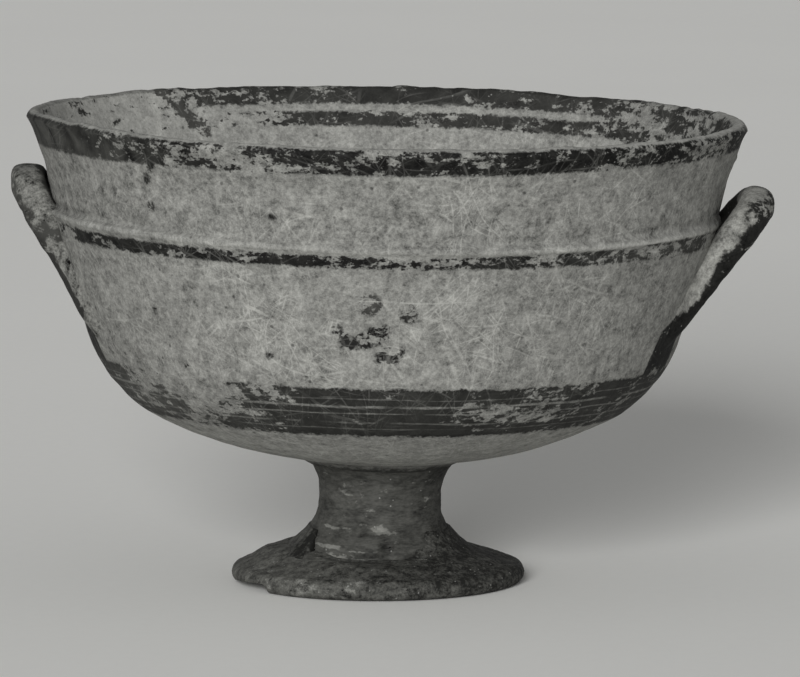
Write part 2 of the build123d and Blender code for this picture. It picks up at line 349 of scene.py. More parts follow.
def lattice(points, seed):
    """Smooth random value from -1 to 1 at each point, from a lattice of hashed corners."""
    cell = np.floor(points).astype(np.int64)
    part = points - cell
    part = part * part * part * (part * (part * 6 - 15) + 10)
    total = np.zeros(points.shape[:-1])
    for corner in np.ndindex(2, 2, 2):
        key = cell + np.array(corner)
        code = key[..., 0] * 374761393 + key[..., 1] * 668265263 + key[..., 2] * 1442695041
        code = (code + seed * 974634777) & 0xFFFFFFFF
        code = ((code ^ (code >> 13)) * 1274126177) & 0xFFFFFFFF
        code = code ^ (code >> 16)
        weight = np.prod(np.where(corner, part, 1 - part), axis=-1)
        total += weight * (code / 0x7FFFFFFF - 1)
    return total


def rough(points, size, seed, layers=3):
    """Layered smooth noise with features of about the given size."""
    return sum(lattice(points / size * 2**layer, seed + layer) / 2**layer for layer in range(layers))


def along(azimuth, stops):
    """Value at each azimuth, run straight between (azimuth, value) stops, all the way round."""
    keys, values = np.array(stops, float).T
    return np.interp(azimuth, keys, values, period=360)


def off_by(azimuth, middle):
    """Turn from a middle azimuth, from -180 to 180."""
    return (azimuth - middle + 180) % 360 - 180


def bell(value, middle, spread):
    """Soft bump: 1 at the middle and falling off over a spread."""
    return np.exp(-(((value - middle) / spread) ** 2))


def spot(azimuth, height, middle, spread):
    """Soft spot: 1 in its middle and falling off over a spread, both as (azimuth, height)."""
    return bell(off_by(azimuth, middle[0]), 0, spread[0]) * bell(height, middle[1], spread[1])


def spots(azimuth, height, rows):
    """Sum of soft spots, from rows of (amount, middle, spread)."""
    return sum(amount * spot(azimuth, height, middle, spread) for amount, middle, spread in rows)


def within(value, limits):
    """Distance inside a pair of limits: positive inside and negative outside."""
    return np.minimum(value - limits[0], limits[1] - value)


def part_way(value, start, end):
    """How far a value is on its way from a start to an end, held between 0 and 1."""
    return np.clip((value - start) / (end - start), 0, 1)


def turned(way, angle):
    """A direction turned to the left by an angle."""
    c, s = math.cos(angle), math.sin(angle)
    return np.array([c * way[0] - s * way[1], s * way[0] + c * way[1]])


def sag_leaving(a, b, way):
    """Sagitta, to the left, of the arc that leaves a along a direction and ends at b."""
    chord = np.subtract(b, a)
    turn = math.atan2(chord[0] * way[1] - chord[1] * way[0], chord @ way)
    return np.hypot(*chord) / 2 * math.tan(turn / 2)


def sag_through(a, b, middle):
    """Sagitta, to the left, of the arc from a to b through a point near its middle."""
    (ax, ay), (bx, by), (mx, my) = a, b, middle
    angle = math.atan2(my - ay, mx - ax) - math.atan2(by - my, bx - mx)
    return math.hypot(bx - ax, by - ay) / 2 * math.tan(angle / 2)


def arc(a, b, sag, step):
    """Points from a towards b, without b, about a step apart on an arc with a sagitta to the left."""
    chord = np.subtract(b, a)
    length = np.hypot(*chord)
    count = max(2, round(length / step))
    part = np.arange(count) / count
    if abs(sag) < 1e-6:
        return np.asarray(a) + part[:, None] * chord
    half = 2 * math.atan(2 * sag / length)
    angle = math.atan2(chord[1], chord[0]) + half - half * part
    reach = length * np.sin(half * part) / math.sin(half)
    return np.asarray(a) + np.stack([reach * np.cos(angle), reach * np.sin(angle)], 1)


def smoothed(columns, weights):
    """Columns of numbers, each averaged with its neighbours by the weights."""
    reach = len(weights) // 2
    padded = np.pad(columns, ((reach, reach), (0, 0)), "edge")
    return np.stack([np.convolve(column, weights, "valid") for column in padded.T], 1)


def path_length(outline):
    """Length along an outline at each of its points."""
    return np.concatenate([[0], np.cumsum(np.hypot(*np.diff(outline, axis=0).T))])


def lower_wall(skin, seat_height, step):
    """Points from the offset down to the seat, moved outwards by a skin."""
    offset, shoulder, haunch = (np.array(p) for p in (OFFSET, SHOULDER, HAUNCH))
    way = (shoulder - offset) / np.hypot(*(shoulder - offset))
    sag = sag_leaving(shoulder, haunch, way)
    haunch_way = turned(way, -4 * math.atan(2 * sag / np.hypot(*(haunch - shoulder))))
    out, haunch_out = turned(way, math.pi / 2), turned(haunch_way, math.pi / 2)
    offset, shoulder, haunch = offset + out * skin, shoulder + out * skin, haunch + haunch_out * skin
    seat = np.array([SEAT[0], seat_height])
    return np.concatenate(
        [
            arc(offset, shoulder, 0, step),
            arc(shoulder, haunch, sag_leaving(shoulder, haunch, way), step),
            arc(haunch, seat, sag_leaving(haunch, seat, haunch_way), step),
            seat[None],
        ]
    )


def bowl_outline():
    """Outline from the seat, up the outside, over the lip and down the inside, and the lip's first row."""
    inside_rim = (RIM[0] - WALL, RIM[1])
    lip = (RIM[0] - WALL / 2, RIM[1] + LIP_ROUND)
    inner = lower_wall(-WALL, FLOOR_HEIGHT, 2.6)
    outside = np.concatenate(
        [
            lower_wall(0, SEAT[1], 1.5)[::-1][:-1],
            arc(OFFSET, NECK, sag_through(OFFSET, NECK, RIDGE), 0.4),
            arc(NECK, RIM, FLARE_SAG, 0.7),
        ]
    )
    by_ridge = np.abs(outside[:, 1:] - RIDGE[1]) < RIDGE_REACH
    outside = np.where(by_ridge, smoothed(outside, (0.25, 0.5, 0.25)), outside)
    over = arc(RIM, inside_rim, sag_through(RIM, inside_rim, lip), 0.4)
    flare = arc(inner[0], inside_rim, FLARE_SAG, 1.2)[::-1]
    return np.concatenate([outside, over, [inside_rim], flare, inner[1:]]), len(outside)


def normals_of(outline):
    """Directions that point out of the solid along an outline drawn with the solid on its left."""
    ahead = np.gradient(outline, axis=0)
    ahead /= np.hypot(*ahead.T)[:, None]
    return np.stack([ahead[:, 1], -ahead[:, 0]], 1)


def lathe(outline, degrees):
    """Points and outward directions of an outline turned to each azimuth."""
    angle = np.radians(degrees)
    spin = np.stack([np.cos(angle), np.sin(angle)], 1)

    def swept(flat):
        tall = np.broadcast_to(flat[:, None, 1:], (len(flat), len(angle), 1))
        return np.concatenate([flat[:, None, :1] * spin, tall], -1)

    return swept(outline), swept(normals_of(outline))


def full_turn(count):
    """Azimuths of evenly spaced columns, all the way round."""
    return np.arange(count) / count * 360 - 180


def grid_faces(rows, columns, closed=True):
    """Quads of a grid of rows whose columns close into a ring, or stay open."""
    i, j = np.meshgrid(np.arange(rows - 1), np.arange(columns if closed else columns - 1), indexing="ij")
    k = (j + 1) % columns
    corners = [i * columns + j, i * columns + k, (i + 1) * columns + k, (i + 1) * columns + j]
    return np.stack(corners, -1).reshape(-1, 4).tolist()


def capped(grid):
    """Vertices and faces of rows of rings, closed by a fan at either end."""
    rows, columns = grid.shape[:2]
    points = np.concatenate([grid.reshape(-1, 3), [grid[0].mean(0), grid[-1].mean(0)]])
    faces = grid_faces(rows, columns)
    first, top = rows * columns, (rows - 1) * columns
    for j in range(columns):
        k = (j + 1) % columns
        faces.append((first, k, j))
        faces.append((first + 1, top + j, top + k))
    return points, faces


def to_frame(points, lean):
    """Points in millimetres on an axis that leans, as places in the part's frame in metres."""
    c, s = math.cos(lean), math.sin(lean)
    x, y, z = np.moveaxis(np.asarray(points, float), -1, 0)
    return np.stack([c * x + s * z, y, c * z - s * x], -1) / 1000


def add_piece(name, points, faces, layers, material, node, lean=LEAN):
    """Adds a smooth mesh to the fixed body, in place of its CAD node.

    A value layer holds a value for each point, and points past its end take its last value.
    """
    mesh = bpy.data.meshes.new(name)
    mesh.from_pydata(to_frame(points, lean).tolist(), [], faces)
    mesh.shade_smooth()
    for layer, values in layers.items():
        values = np.ravel(values)
        full = np.append(values, np.full(len(points) - len(values), values[-1]))
        mesh.attributes.new(layer, "FLOAT", "POINT").data.foreach_set("value", full.astype(np.float32))
    mesh.materials.append(material)
    piece = bpy.data.objects.new(name, mesh)
    bpy.context.scene.collection.objects.link(piece)
    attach(piece, "root")
    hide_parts(node)
    return piece


class Nodes:
    """Short ways to lay out a material's nodes."""

    def __init__(self, owner):
        owner.use_nodes = True
        self.tree = owner.node_tree
        self.tree.nodes.clear()

    def add(self, kind, settings=None, **inputs):
        """A new node with its settings and inputs, where an input's name has _ for a space."""
        node = self.tree.nodes.new(kind)
        for key, value in (settings or {}).items():
            setattr(node, key, value)
        for key, value in inputs.items():
            self.feed(node.inputs[key.replace("_", " ")], value)
        return node

    def feed(self, socket, value):
        """Gives an input a fixed value, or a link if the value is another node's output."""
        if isinstance(value, bpy.types.NodeSocket):
            self.tree.links.new(value, socket)
        else:
            socket.default_value = value

    def maths(self, operation, *values):
        node = self.add("ShaderNodeMath", {"operation": operation})
        for socket, value in zip(node.inputs, values):
            self.feed(socket, value)
        return node.outputs[0]

    def times(self, a, b, plus=0.0):
        return self.maths("MULTIPLY_ADD", a, b, plus)

    def scaled(self, vector, by):
        node = self.add("ShaderNodeVectorMath", {"operation": "SCALE"}, Scale=by)
        self.feed(node.inputs[0], vector)
        return node.outputs["Vector"]

    def squeezed(self, place, sideways):
        """A place with its two level parts times a number, so that patterns on it stretch along the level."""
        node = self.add("ShaderNodeVectorMath", {"operation": "MULTIPLY"})
        self.feed(node.inputs[0], place)
        self.feed(node.inputs[1], (sideways, sideways, 1.0))
        return node.outputs["Vector"]

    def noise(self, place, size, detail=2.0, roughness=0.55):
        """Smooth noise from 0 to 1 with features of about the given size."""
        inputs = {"Scale": 1 / size, "Detail": detail, "Roughness": roughness}
        return self.add("ShaderNodeTexNoise", Vector=place, **inputs).outputs[0]

    def ramp(self, value, low, high):
        """Smooth step from 0 at low to 1 at high."""
        settings = {"interpolation_type": "SMOOTHSTEP"}
        return self.add("ShaderNodeMapRange", settings, Value=value, From_Min=low, From_Max=high).outputs[0]

    def layer(self, name):
        return self.add("ShaderNodeAttribute", {"attribute_name": name}).outputs["Fac"]

    def mixed(self, factor, a, b):
        node = self.add("ShaderNodeMix", {"data_type": "RGBA"})
        for index, value in ((0, factor), (6, a), (7, b)):
            self.feed(node.inputs[index], value)
        return node.outputs[2]

    def total(self, start, *shares):
        """A number plus each (share, value), where the value runs from 0 to 1 and counts from its middle."""
        for share, value in shares:
            start = self.times(self.maths("SUBTRACT", value, 0.5), share, start)
        return start

    def dots(self, place, size, reach, share):
        """Round dots in a share of the cells that fill the space."""
        cell = self.add("ShaderNodeTexVoronoi", {"feature": "F1"}, Vector=place, Scale=1 / size)
        chance = self.add("ShaderNodeTexWhiteNoise", Vector=cell.outputs["Position"]).outputs["Value"]
        there = self.maths("LESS_THAN", chance, share)
        return self.times(self.ramp(cell.outputs["Distance"], reach, 0.4 * reach), there)

    def dashes(self, flat, sway, tilt, width, length, low):
        """Thin strokes along a tilt in degrees, from noise stretched along it."""
        across, up = flat
        c, s = math.cos(math.radians(tilt)), math.sin(math.radians(tilt))
        ahead = self.times(across, c / length, self.times(up, s / length))
        aside = self.times(across, -s / width, self.times(up, c / width, self.times(sway, 1 / width)))
        place = self.add("ShaderNodeCombineXYZ", X=ahead, Y=aside, Z=tilt * 1.7).outputs[0]
        return self.ramp(self.noise(place, 1.0, 0.0), low, low + 0.14)

    def gaps(self, flat, lines):
        """Thin gaps between brush strokes at set heights, which wander and come and go along the wall."""
        across, up = flat
        open_gaps = 0.0
        for height, half, strength in lines:
            place = self.add("ShaderNodeCombineXYZ", X=across, Y=height * 9.0).outputs[0]
            drift = self.total(-height, (1.5, self.noise(place, 42.0, 1.0)))
            off = self.maths("ABSOLUTE", self.maths("ADD", up, drift))
            reach = self.total(half, (0.5, self.noise(place, 6.0, 2.0)))
            gap = self.ramp(self.maths("SUBTRACT", off, reach), 0.16, -0.16)
            there = self.ramp(self.noise(place, 19.0, 2.0), 0.34, 0.54)
            open_gaps = self.maths("MAXIMUM", open_gaps, self.times(self.times(gap, there), strength))
        return open_gaps

    def scratches(self, place, flat):
        """Crossing fine scratches, in clusters, as dense as the scratch layer says."""
        sway = self.total(0.0, (14.0, self.noise(place, 34.0, 1.0)))
        marks = 0.0
        for tilt, width, length in SCRATCHES:
            marks = self.maths("MAXIMUM", marks, self.dashes(flat, sway, tilt, width, length, 0.67))
        clusters = self.ramp(self.noise(place, 12.0, 2.0), 0.34, 0.6)
        return self.times(marks, self.times(self.layer("scratch"), clusters))


def clay_material(name, clay, paint, mottle=1.0, flecks=0.05, lines=(), stretch=1.0):
    """Matt clay with worn dark paint, scratches, flecks and pits, led by the piece's value layers."""
    material = bpy.data.materials.new(name)
    n = Nodes(material)
    place = n.scaled(n.add("ShaderNodeTexCoord").outputs["Object"], 1000.0)
    flat = n.layer("across"), n.layer("up")
    broad = n.noise(place, BROAD_SIZE, 2.0)
    patch = n.noise(place, PATCH_SIZE, 4.0, 0.6)
    fine = n.noise(place, FINE_SIZE, 3.0, 0.65)
    rills = n.noise(n.squeezed(place, RILL_SQUEEZE), RILL_SIZE, 3.0, 0.7)
    drawn = n.squeezed(place, stretch)
    grains = [n.noise(drawn, size, 1.0) for size, share in GRAINS]
    marks = n.scratches(place, flat)

    # Where paint covers the clay: its ragged edge, flakes, scratches and the gaps between brush strokes
    edge = n.total(n.layer("paint"), (1.6, fine), (1.6, patch), (0.8, grains[1]))
    low = n.squeezed(place, FLAKE_SQUEEZE)
    small_flakes = n.noise(low, SMALL_FLAKE, 3.0, 0.6)
    large_flakes = n.noise(low, LARGE_FLAKE, 2.0)
    flake = n.total(0.5, (1.5, small_flakes), (1.3, large_flakes), (0.7, fine), (0.4, grains[1]))
    cover = n.ramp(edge, -0.45, 0.45)
    cover = n.times(cover, n.ramp(n.maths("SUBTRACT", flake, n.layer("wear")), -0.09, 0.14))
    cover = n.times(cover, n.times(marks, -0.3, 1.0))
    cover = n.times(cover, n.times(n.gaps(flat, lines), -1.0, 1.0))

    # Lightness of the bare clay and of the paint
    pits = n.dots(place, PIT_CELL, PIT_REACH, PIT_SHARE)
    mottled = [(share * mottle, grain) for (size, share), grain in zip(GRAINS, grains)]
    smudge = n.noise(n.squeezed(place, SMUDGE_SQUEEZE), SMUDGE_SIZE, 3.0, 0.62)
    smudge = n.ramp(smudge, 0.52, 0.74)
    bright = n.total(1.04, (0.3, broad), (0.42, patch), (0.3, rills), *mottled)
    bright = n.times(smudge, -0.3 * mottle, n.maths("ADD", bright, n.layer("pale")))
    bright = n.times(marks, 0.5, bright)
    bright = n.times(bright, n.times(pits, -0.55, 1.0))
    mottled_paint = [(1.3 * share, grain) for share, grain in mottled]
    dark = n.total(1.0, (0.6, broad), (0.8, patch), (1.0, rills), *mottled_paint)
    dark = n.maths("MAXIMUM", n.maths("ADD", dark, n.layer("paint_lightness")), 0.35)
    colour = n.mixed(cover, n.scaled(clay, bright), n.scaled(paint, dark))
    light = n.dots(place, FLECK_CELL, FLECK_REACH, flecks)
    colour = n.mixed(n.times(light, 0.6), colour, FLECK)

    relief = n.total(0.0, (0.05, grains[0]), (0.1, fine), (0.08, rills))
    relief = n.times(pits, -0.08, n.times(cover, 0.03, relief))
    bump = n.add("ShaderNodeBump", Height=relief, Distance=0.001, Strength=0.8)
    shine = n.times(cover, -0.15, 0.9)
    skin = n.add("ShaderNodeBsdfPrincipled", Base_Color=colour, Roughness=shine, Normal=bump.outputs[0])
    n.feed(skin.inputs["Specular IOR Level"], 0.12)
    n.add("ShaderNodeOutputMaterial", Surface=skin.outputs[0])
    return material


def stripe_paint(azimuth, height, radius):
    """Distance inside the stripes that run down the wall from the handles' roots."""
    arm = np.pi / 180 * radius
    inside = []
    for middle, drift, half in STRIPES:
        turn = np.abs(off_by(azimuth, middle + drift * (height - STRIPES_MIDDLE)))
        inside.append(half - turn * arm)
    return np.max(inside, axis=0)


def outer_paint(azimuth, height, radius, past_rim):
    """Distance inside the paint on the bowl's outside."""
    arm = np.pi / 180 * radius
    paint = np.minimum(height - along(azimuth, RIM_BAND_LOW), RIM_BAND_OVER - past_rim)
    paint = np.maximum(paint, within(height, (OFFSET_LINE_LOW, along(azimuth, OFFSET_LINE_HIGH))))
    paint = np.maximum(paint, within(height, LOWER_BAND))
    stripes = stripe_paint(azimuth, height, radius)
    rounded_top = STRIPES_HIGH + 0.5 * stripes.clip(0)
    paint = np.maximum(paint, np.minimum(stripes, within(height, (STRIPES_LOW, rounded_top))))
    for middle, tall, size in BLOTCHES:
        paint = np.maximum(paint, 0.7 * (size - np.hypot(off_by(azimuth, middle) * arm, height - tall)))
    return paint


def inner_paint(azimuth, height, past_rim):
    """Distance inside the paint on the bowl's inside, and inside the slanting streak on its left."""
    past_lip = past_rim - along(azimuth, INNER_LIP)
    paint = np.minimum(height - INNER_BAND_LOW, past_lip)
    paint = np.maximum(paint, within(height, INNER_LINE))
    past_field = np.maximum(np.abs(off_by(azimuth, FIELD_MIDDLE)) - FIELD_HALF, 0)
    field = within(height, FIELD_HEIGHTS) - past_field * FIELD_TAPER
    paint = np.maximum(paint, np.minimum(field, past_lip))
    rise = height - STREAK_MIDDLE[1]
    aside = (off_by(azimuth, STREAK_MIDDLE[0]) - rise * STREAK_SLANT) * np.pi / 180 * RIM[0]
    past_end = np.maximum(np.abs(rise) - STREAK_HALF_LENGTH, 0)
    streak = STREAK_HALF_WIDTH - np.hypot(past_end, aside)
    return np.maximum(paint, streak), streak


def bowl_relief(still, azimuth, radius, height, past_rim, outside):
    """How far the bowl's skin stands off its outline: wheel marks, unevenness, a worn lip and soft swells."""
    wheel_marks = 0.14 * rough(still * (0.03, 0.03, 1), 3.2, 11, 2)
    uneven = 0.2 * rough(still, 26, 21, 2) + 0.06 * rough(still, 4, 31, 2)
    worn_lip = bell(past_rim, 3.3, 3.2) * (0.26 * rough(still, 9, 41, 2) + 0.2 * rough(still, 3.5, 51, 2))
    swells = outside * spots(azimuth, height, BOWL_SWELLS)
    return (wheel_marks + uneven + worn_lip + swells) * part_way(radius, UNEVEN_FROM, UNEVEN_FULL)


def bowl_light(azimuth, height, past_rim, outside):
    """Lightness added to the bowl's bare clay on its lip, inside, ridge and belly and in soft spots, partly
    worn clay and partly painted light and shade.
    """
    # Worn light lip top, raised as painted light where it lies in shade
    lip = 0.32 * bell(past_rim, 2.9, 1.7) * along(azimuth, LIP_LIGHT)
    inside = np.where(past_rim > 5, along(azimuth, INSIDE_LIGHT), 0)
    # Painted highlight along the ridge, on clay that is also worn lighter there
    by_handle = bell(off_by(azimuth, -4), 0, 18)
    ridge = 0.2 * bell(height, along(azimuth, RIDGE_HIGHLIGHT_HEIGHT), 1.2) * (1 - by_handle)
    # Painted shade in the concave corner above the ridge
    crease_shade = -0.1 * bell(height, 106.2, 1.0)
    # Painted light on the belly below the lower band, standing in for light thrown up from the floor
    belly = 0.33 * part_way(height, 50, 44)
    return lip + inside + outside * (ridge + crease_shade + belly + spots(azimuth, height, CLAY_LIGHT))


def bowl_layers(still, azimuth, radius, height, past_rim, outside):
    """Value layers of the bowl, which lead its material."""
    painted_in, streak = inner_paint(azimuth, height, past_rim)
    in_streak = streak > -1
    wear_out = BOWL_WEAR_BASE + spots(azimuth, height, BOWL_WEAR)
    wear_in = along(azimuth, INNER_WEAR) + spots(azimuth, height, INNER_WEAR_SPOTS)
    thin_mottle = THIN_MOTTLE_BASE + spots(azimuth, height, THIN_MOTTLE)
    thin_out = spots(azimuth, height, THIN_PAINT) + thin_mottle * rough(still * (1, 1, 0.6), 3.0, 67, 2)
    thin_out = thin_out + THIN_LOWER_BAND * within(height, LOWER_BAND).clip(0, 1)
    thin_in = THIN_INSIDE + THIN_STREAK * in_streak + 1.2 * rough(still, 3.4, 77, 2)

    # The flat place across the wall jumps at a seam, at the back outside and at the front inside
    turn = np.where(outside, off_by(azimuth, -90), off_by(azimuth, 90))
    off_seam = np.abs(turn) < 178.5
    off_lip = np.abs(past_rim - LIP_TOP) > 1.0
    return {
        "paint": np.where(outside, outer_paint(azimuth, height, radius, past_rim), painted_in),
        "wear": np.where(outside, wear_out, np.where(in_streak, STREAK_WEAR, wear_in)),
        "pale": bowl_light(azimuth, height, past_rim, outside),
        "scratch": (SCRATCHED_BASE + spots(azimuth, height, SCRATCHED)) * off_seam * off_lip,
        "across": turn * np.pi / 180 * RIM[0],
        "up": height,
        "paint_lightness": np.where(outside, thin_out, thin_in),
    }


def make_bowl(material):
    """Adds the bowl, and gives back the outline of its outer wall."""
    outline, lip_row = bowl_outline()
    degrees = full_turn(BOWL_AROUND)
    still, out = lathe(outline, degrees)
    shape = still.shape[:2]
    azimuth = np.broadcast_to(degrees, shape)
    radius, height = (np.broadcast_to(outline[:, k : k + 1], shape) for k in (0, 1))
    path = path_length(outline)
    past_rim = np.broadcast_to((path - path[lip_row])[:, None], shape)
    outside = past_rim < LIP_TOP
    places = azimuth, radius, height, past_rim, outside
    grid = still + bowl_relief(still, *places)[..., None] * out
    grid[..., 2] += along(azimuth, RIM_RISE) * part_way(height, NECK[1], RIM[1])
    grid[..., 2] -= outside * spots(azimuth, height, RIDGE_DROP)
    points, faces = capped(grid)
    add_piece("Bowl", points, faces, bowl_layers(still, *places), material, "bowl")
    return outline[: lip_row + 1]


def make_stem(material):
    """Adds the waisted stem, with its worn streaks and the hollow broken into its front."""
    outline = np.concatenate(
        [
            arc((AXIS_GAP, STEM_BASE[1]), STEM_BASE, 0, 3.0),
            arc(STEM_BASE, PLINTH, 0, 0.45),
            arc(PLINTH, STEM_TOP, sag_through(PLINTH, STEM_TOP, WAIST), 0.6),
            arc(STEM_TOP, (AXIS_GAP, STEM_TOP[1]), 0, 3.0),
        ]
    )
    degrees = full_turn(STEM_AROUND)
    still, out = lathe(outline, degrees)
    z = still[..., 2]
    azimuth = np.broadcast_to(degrees, z.shape)
    push = 0.3 * rough(still, 11, 61, 3) + 0.14 * rough(still * (0.3, 0.3, 1), 2.4, 71, 2)
    push = push + spots(azimuth, z, STEM_HOLLOW)
    wear = STEM_WEAR_BASE + spots(azimuth, z, STEM_WEAR)
    for amount, middle, spread, slope in STEM_STREAKS:
        wear = wear + amount * spot(azimuth, z + slope * (azimuth - middle[0]), middle, spread)
    layers = {
        "paint": PAINTED_OVER,
        "wear": wear,
        "pale": 0.3,
        # Lightness of the stem's paint: partly its own wear, partly painted light and shade
        "paint_lightness": along(azimuth, STEM_TONE) + spots(azimuth, z, STEM_SHADE),
    }
    points, faces = capped(still + push[..., None] * out)
    add_piece("Stem", points, faces, layers, material, "stem")


def make_foot(material):
    """Adds the disc foot, with the nick in its edge."""
    outline = np.concatenate(
        [
            arc((AXIS_GAP, FOOT_HOLLOW[1]), (FOOT_HOLLOW[0], 0.0), FOOT_HOLLOW_SAG, 2.0),
            arc((FOOT_HOLLOW[0], 0.0), FOOT_REST, 0, 1.2),
            arc(FOOT_REST, FOOT_EDGE, sag_through(FOOT_REST, FOOT_EDGE, FOOT_BULGE), 0.45),
            arc(FOOT_EDGE, FOOT_SEAT, 0, 0.7),
            arc(FOOT_SEAT, (AXIS_GAP, FOOT_SEAT[1]), 0, 1.4),
        ]
    )
    degrees = full_turn(FOOT_AROUND)
    still, out = lathe(outline, degrees)
    far, z = np.hypot(still[..., 0], still[..., 1]), still[..., 2]
    azimuth = np.broadcast_to(degrees, z.shape)
    push = part_way(z, *FOOT_UNEVEN) * (0.32 * rough(still, 10, 81, 3) + 0.16 * rough(still, 2.8, 91, 2))
    push = push + part_way(z, *FOOT_TOP) * spots(azimuth, far, FOOT_SWELLS)
    grid = still + push[..., None] * out
    grid[..., 2] = np.maximum(grid[..., 2], along(azimuth, FOOT_LIFT) * part_way(far, *CHIP_RADII))

    # The resting ring stays level, and the foot's top follows the stem's lean
    grid[..., 2] -= math.tan(LEAN) * grid[..., 0] * part_way(z, FOOT_EDGE[1], FOOT_SEAT[1])
    layers = {
        "paint": PAINTED_OVER,
        "wear": FOOT_WEAR_BASE + spots(azimuth, z, FOOT_WEAR),
        "pale": 0.15,
        # Lighter on the left and darker on the right: partly wear, partly painted light and shade
        "paint_lightness": along(azimuth, FOOT_TONE),
    }
    points, faces = capped(grid)
    add_piece("Foot", points, faces, layers, material, "foot", 0.0)


def make_stem_lute(material):
    """Adds the ring of clay in the corner between the stem and the bowl."""
    brow = (LUTE_HIGH[0] - 1, LUTE_ROOT[1])
    outline = np.concatenate(
        [
            arc(LUTE_LOW, LUTE_HIGH, sag_leaving(LUTE_LOW, LUTE_HIGH, LUTE_WAY), 0.6),
            arc(LUTE_HIGH, brow, 0, 1.0),
            arc(brow, LUTE_ROOT, 0, 2.0),
            arc(LUTE_ROOT, LUTE_LOW, 0, 2.0),
        ]
    )
    still, out = lathe(np.concatenate([outline, outline[:1]]), full_turn(LUTE_AROUND))
    z = still[..., 2]
    points = (still + 0.14 * rough(still, 8, 101, 2)[..., None] * out).reshape(-1, 3)
    layers = {"paint": 0.45 * (LUTE_PAINT_TOP - z), "wear": 0.1, "pale": -0.06, "paint_lightness": 3.4}
    add_piece("StemLute", points, grid_faces(*z.shape), layers, material, "stem_lute")


def make_foot_collar(material):
    """Adds the cuff of clay round the stem's base, open across the front."""
    top, bottom = CUFF_HIGH[1] - 1, CUFF_LOW[1] - 2
    outline = np.concatenate(
        [
            arc(CUFF_LOW, CUFF_HIGH, CUFF_SAG, 0.6),
            arc(CUFF_HIGH, (CUFF_ROOT, top), 0, 1.5),
            arc((CUFF_ROOT, top), (CUFF_ROOT, bottom), 0, 2.0),
            arc((CUFF_ROOT, bottom), (CUFF_LOW[0] - 1, bottom), 0, 2.0),
            [(CUFF_LOW[0] - 0.5, CUFF_LOW[1] - 1.2), CUFF_LOW],
        ]
    )
    degrees = np.linspace(CUFF_FROM, CUFF_TO, CUFF_COLUMNS)
    still, out = lathe(outline, degrees)
    rows, columns = still.shape[:2]
    azimuth = np.broadcast_to(degrees, (rows, columns))
    near_end = part_way(azimuth, CUFF_TO - CUFF_SLANT_STRETCH, CUFF_TO)
    slant = np.radians((outline[:, :1] - CUFF_SLANT_RADIUS) * CUFF_SLANT * near_end)
    c, s = np.cos(slant), np.sin(slant)
    for way in (still, out):
        way[..., 0], way[..., 1] = c * way[..., 0] - s * way[..., 1], s * way[..., 0] + c * way[..., 1]
    grid = still + (0.3 * rough(still, 7, 111, 3))[..., None] * out
    grid[..., :2] *= along(azimuth, CUFF_GIRTH)[..., None]
    first_end = list(range(0, rows * columns, columns))
    last_end = list(range(columns - 1, rows * columns, columns))[::-1]
    faces = grid_faces(rows, columns, False) + [first_end, last_end]
    # The cuff's paint lightness holds painted light on its left and painted shade on its broken end
    layers = {"paint": PAINTED_OVER, "wear": 0.08, "pale": 0.0, "paint_lightness": along(azimuth, CUFF_TONE)}
    add_piece("FootCollar", grid.reshape(-1, 3), faces, layers, material, "foot_collar")


def wall_gap(points, wall):
    """Distance of each point off the bowl's outer wall, and the wall's outward direction there."""
    path = path_length(wall)
    close = np.arange(0, path[-1], 0.15)
    wall = np.stack([np.interp(close, path, wall[:, k]) for k in (0, 1)], 1)
    out = smoothed(normals_of(wall), np.ones(9) / 9)
    flat = np.stack([np.hypot(points[..., 0], points[..., 1]), points[..., 2]], -1)
    nearest = np.array([np.argmin(((row[:, None] - wall) ** 2).sum(-1), axis=-1) for row in flat])
    gap = ((flat - wall[nearest]) * out[nearest]).sum(-1)
    spin = points[..., :2] / flat[..., :1]
    return gap, np.concatenate([spin * out[nearest][..., :1], out[nearest][..., 1:]], -1)


def handle_path(side, bar, standoff, rise, root_rise):
    """Middle line of a handle from root to root, and the direction square to its plane, outwards."""
    share = root_rise / (OFFSET[1] - SHOULDER[1])
    root_wall = SHOULDER[0] + share * (OFFSET[0] - SHOULDER[0])
    flare = arc((NECK[0], OFFSET[1]), RIM, FLARE_SAG, 0.05)
    crown_wall = flare[round(rise / (RIM[1] - OFFSET[1]) * len(flare)), 0]
    root = np.array([math.sqrt(root_wall**2 - ROOT_HALF**2) - ROOT_SINK, SHOULDER[1] + root_rise])
    crown = np.array([crown_wall + standoff + bar, OFFSET[1] + rise])
    length = np.hypot(*(crown - root))
    up = (crown - root) / length
    spread, drop = ROOT_HALF - CROWN_HALF, length - CROWN_HALF
    bend = (spread**2 + drop**2) / (2 * spread)
    sweep = math.asin(drop / bend)
    past = np.linspace(ROOT_REACH, 0, REACH_RINGS + 1)[:-1]
    leg = np.linspace(sweep, 0, LEG_RINGS + 1)[:-1]
    ring = np.linspace(0, np.pi / 2, CROWN_RINGS)
    y = np.concatenate(
        [
            ROOT_HALF + past * math.sin(sweep),
            CROWN_HALF + bend * (1 - np.cos(leg)),
            CROWN_HALF * np.cos(ring),
        ]
    )
    s = np.concatenate(
        [
            -length - past * math.cos(sweep),
            -CROWN_HALF - bend * np.sin(leg),
            CROWN_HALF * (np.sin(ring) - 1),
        ]
    )
    y, s = np.concatenate([-y, y[-2::-1]]), np.concatenate([s, s[-2::-1]])
    middle = np.stack([side * (crown[0] + s * up[0]), y, crown[1] + s * up[1]], 1)
    return middle, np.array([side * up[1], 0, -up[0]])


